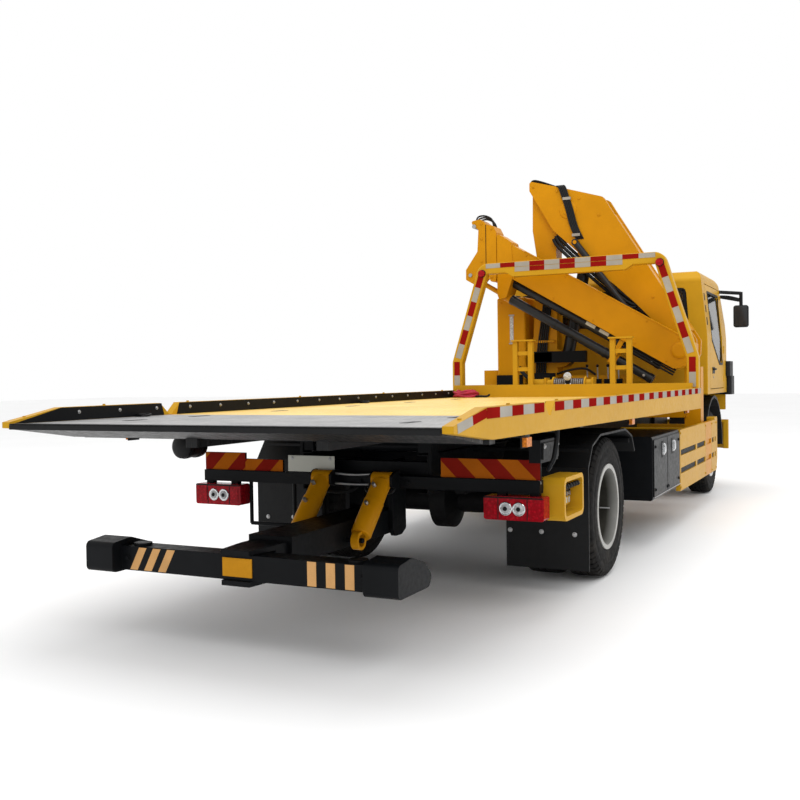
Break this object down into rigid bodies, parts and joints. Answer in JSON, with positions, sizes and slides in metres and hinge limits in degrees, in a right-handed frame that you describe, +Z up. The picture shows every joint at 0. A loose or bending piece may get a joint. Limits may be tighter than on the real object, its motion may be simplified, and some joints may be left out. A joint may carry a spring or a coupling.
{
  "type": "flatbed tow truck with knuckle boom crane",
  "caption": "Yellow two-axle rollback tow truck with a tilting, sliding flatbed, a folded knuckle boom crane behind a tilting day cab, outriggers and a rear wheel lift",
  "frame": {"origin": "on the ground under the middle of the bounding box", "axes": "X runs from the tail to the cab, Y to the truck's left, Z up"},
  "size_m": [8.85, 2.79, 3.4169],
  "materials": {
    "chassis_black": "satin",
    "cast_black": "matte",
    "engine_grey": "matte",
    "tank_alloy": "brushed",
    "box_black": "satin",
    "cab_yellow": "gloss",
    "crane_yellow": "gloss",
    "deck_yellow": "worn satin",
    "black_plastic": "matte",
    "lamp_red": "gloss",
    "ram_black": "satin",
    "rod_chrome": "polished",
    "seat_fabric": "woven",
    "dark_glass": "gloss",
    "tyre_rubber": "matte",
    "rim_silver": "satin"
  },
  "bodies": {
    "chassis": {"frame_rails": "chassis_black", "axles": "cast_black", "driveline": "engine_grey", "fuel_tank": "tank_alloy", "tool_box": "box_black", "side_skirts": "cab_yellow", "front_bumper": "cab_yellow", "fenders": "black_plastic", "lamp_bar": "chassis_black", "tail_lamps": "lamp_red", "control_box": "cab_yellow", "crane_base": "crane_yellow", "oil_tank": "crane_yellow", "crane_column": "crane_yellow"},
    "cab": {"cab_roof": "cab_yellow", "cab_floor": "cab_yellow", "cab_rear_wall": "cab_yellow", "cab_front_panel": "cab_yellow", "cab_glass": "dark_glass", "cab_seats": "seat_fabric", "dashboard": "black_plastic", "headlamps": "black_plastic", "mirrors": "black_plastic"},
    "door_left": {"left_door": "cab_yellow", "left_door_glass": "dark_glass"},
    "door_right": {"right_door": "cab_yellow", "right_door_glass": "dark_glass"},
    "knuckle_left": {"left_knuckle": "cast_black"},
    "knuckle_right": {"right_knuckle": "cast_black"},
    "wheel_front_left": {"front_left_tyre": "tyre_rubber", "front_left_rim": "rim_silver"},
    "wheel_front_right": {"front_right_tyre": "tyre_rubber", "front_right_rim": "rim_silver"},
    "wheels_rear_left": {"rear_left_tyres": "tyre_rubber", "rear_left_rims": "rim_silver"},
    "wheels_rear_right": {"rear_right_tyres": "tyre_rubber", "rear_right_rims": "rim_silver"},
    "subframe": {"bed_subframe": "chassis_black"},
    "bed": {"deck": "deck_yellow", "side_rails": "cab_yellow", "headboard_hoop": "cab_yellow", "deck_posts": "cab_yellow"},
    "tilt_barrels": {"bed_tilt_cylinders": "ram_black"},
    "tilt_rods": {"bed_tilt_rods": "rod_chrome"},
    "lift_arm": {"underlift_arm": "chassis_black"},
    "lift_extension": {"underlift_extension": "chassis_black"},
    "crossbar": {"underlift_crossbar": "chassis_black"},
    "lift_barrels": {"underlift_cylinders": "crane_yellow"},
    "lift_rods": {"underlift_rods": "crane_yellow"},
    "boom": {"inner_boom": "crane_yellow"},
    "outer": {"outer_boom": "crane_yellow"},
    "extension": {"boom_extension": "crane_yellow"},
    "ram_barrel": {"lift_cylinder": "ram_black"},
    "ram_rod": {"lift_rod": "rod_chrome"},
    "fold_barrel": {"fold_cylinder": "ram_black"},
    "fold_ram_rod": {"fold_rod": "rod_chrome"},
    "beam_left": {"outrigger_beam_left": "crane_yellow"},
    "beam_right": {"outrigger_beam_right": "crane_yellow"},
    "leg_left": {"outrigger_leg_left": "rod_chrome"},
    "leg_right": {"outrigger_leg_right": "rod_chrome"}
  },
  "joints": [
    {"name": "steer_left", "type": "hinge", "parent": "chassis", "child": "knuckle_left", "pos_m": [3.325, 0.8, 0.46], "axis": [0, 0, 1], "range_deg": [-32, 32]},
    {"name": "spin_front_left", "type": "hinge", "parent": "knuckle_left", "child": "wheel_front_left", "pos_m": [3.325, 0.96, 0.46], "axis": [0, 1, 0], "continuous": true},
    {"name": "spin_rear_left", "type": "hinge", "parent": "chassis", "child": "wheels_rear_left", "pos_m": [-1.625, 1.045, 0.46], "axis": [0, 1, 0], "continuous": true},
    {"name": "door_left_swing", "type": "hinge", "parent": "cab", "child": "door_left", "pos_m": [3.845, 1.14, 1.7], "axis": [0, 0, -1], "range_deg": [0, 70]},
    {"name": "steer_right", "type": "hinge", "parent": "chassis", "child": "knuckle_right", "pos_m": [3.325, -0.8, 0.46], "axis": [0, 0, 1], "range_deg": [-32, 32]},
    {"name": "spin_front_right", "type": "hinge", "parent": "knuckle_right", "child": "wheel_front_right", "pos_m": [3.325, -0.96, 0.46], "axis": [0, 1, 0], "continuous": true},
    {"name": "spin_rear_right", "type": "hinge", "parent": "chassis", "child": "wheels_rear_right", "pos_m": [-1.625, -1.045, 0.46], "axis": [0, 1, 0], "continuous": true},
    {"name": "door_right_swing", "type": "hinge", "parent": "cab", "child": "door_right", "pos_m": [3.845, -1.14, 1.7], "axis": [0, 0, 1], "range_deg": [0, 70]},
    {"name": "cab_tilt", "type": "hinge", "parent": "chassis", "child": "cab", "pos_m": [4.225, 0, 0.95], "axis": [0, 1, 0], "range_deg": [0, 45]},
    {"name": "bed_tilt", "type": "hinge", "parent": "chassis", "child": "subframe", "pos_m": [-2.825, 0, 0.925], "axis": [0, -1, 0], "range_deg": [0, 13.5]},
    {"name": "bed_slide", "type": "slide", "parent": "subframe", "child": "bed", "axis": [-1, 0, 0], "range_m": [0, 2.9]},
    {"name": "tilt_barrel_swing", "type": "hinge", "parent": "chassis", "child": "tilt_barrels", "pos_m": [-1.025, 0, 0.64], "axis": [0, -1, 0], "range_deg": [-0.01, 30.9]},
    {"name": "tilt_rod_slide", "type": "slide", "parent": "tilt_barrels", "child": "tilt_rods", "axis": [0.9518, 0, 0.3067], "range_m": [-0.0001, 0.2957]},
    {"name": "underlift_lift", "type": "hinge", "parent": "chassis", "child": "lift_arm", "pos_m": [-2.725, 0, 0.47], "axis": [0, -1, 0], "range_deg": [-14, 12]},
    {"name": "underlift_extend", "type": "slide", "parent": "lift_arm", "child": "lift_extension", "axis": [1, 0, 0], "range_m": [-0.8, 0]},
    {"name": "crossbar_swivel", "type": "hinge", "parent": "lift_extension", "child": "crossbar", "pos_m": [-4.095, 0, 0.49], "axis": [0, 0, 1], "range_deg": [-20, 20]},
    {"name": "lift_barrel_swing", "type": "hinge", "parent": "chassis", "child": "lift_barrels", "pos_m": [-3.01, 0, 0.745], "axis": [0, -1, 0], "range_deg": [-15.11, 12.95]},
    {"name": "lift_rod_slide", "type": "slide", "parent": "lift_barrels", "child": "lift_rods", "axis": [-0.7071, 0, -0.7071], "range_m": [-0.0978, 0.0838]},
    {"name": "boom_raise", "type": "hinge", "parent": "chassis", "child": "boom", "pos_m": [2.225, 0.18, 3.08], "axis": [1, 0, 0], "range_deg": [-105, 0]},
    {"name": "boom_fold", "type": "hinge", "parent": "boom", "child": "outer", "pos_m": [1.845, -1.02, 1.56], "axis": [1, 0, 0], "range_deg": [-165, 0]},
    {"name": "boom_extend", "type": "slide", "parent": "outer", "child": "extension", "axis": [0, 0.8616, 0.5075], "range_m": [0, 1.5]},
    {"name": "ram_barrel_swing", "type": "hinge", "parent": "chassis", "child": "ram_barrel", "pos_m": [2.225, 0.25, 1.5], "axis": [1, 0, 0], "range_deg": [-0.01, 2.47]},
    {"name": "ram_rod_slide", "type": "slide", "parent": "ram_barrel", "child": "ram_rod", "axis": [0, -0.1997, 0.9799], "range_m": [-0.0001, 0.7651]},
    {"name": "fold_barrel_swing", "type": "hinge", "parent": "boom", "child": "fold_barrel", "pos_m": [2.027, 0.09325, 2.72804], "axis": [1, 0, 0], "range_deg": [-3.06, 0.01]},
    {"name": "fold_rod_slide", "type": "slide", "parent": "fold_barrel", "child": "fold_ram_rod", "axis": [0, -0.5957, -0.8032], "range_m": [-0.0001, 0.1556]},
    {"name": "outrigger_left_out", "type": "slide", "parent": "chassis", "child": "beam_left", "axis": [0, 1, 0], "range_m": [0, 0.75]},
    {"name": "outrigger_left_down", "type": "slide", "parent": "beam_left", "child": "leg_left", "axis": [0, 0, -1], "range_m": [0, 0.38]},
    {"name": "outrigger_right_out", "type": "slide", "parent": "chassis", "child": "beam_right", "axis": [0, -1, 0], "range_m": [0, 0.75]},
    {"name": "outrigger_right_down", "type": "slide", "parent": "beam_right", "child": "leg_right", "axis": [0, 0, -1], "range_m": [0, 0.38]}
  ],
  "couplings": [
    {"joint": "steer_right", "follows": "steer_left", "ratio": 1},
    {"joint": "tilt_barrel_swing", "follows": "bed_tilt", "ratio": 2.2435},
    {"joint": "tilt_rod_slide", "follows": "bed_tilt", "m_per_rad": 1.2298},
    {"joint": "lift_barrel_swing", "follows": "underlift_lift", "ratio": 1.0576},
    {"joint": "lift_rod_slide", "follows": "underlift_lift", "m_per_rad": 0.39192},
    {"joint": "boom_fold", "follows": "boom_raise", "ratio": 0.5},
    {"joint": "ram_barrel_swing", "follows": "boom_raise", "ratio": -0.022981},
    {"joint": "ram_rod_slide", "follows": "boom_raise", "m_per_rad": -0.40928},
    {"joint": "fold_barrel_swing", "follows": "boom_raise", "ratio": 0.028493},
    {"joint": "fold_rod_slide", "follows": "boom_raise", "m_per_rad": -0.083179}
  ]
}
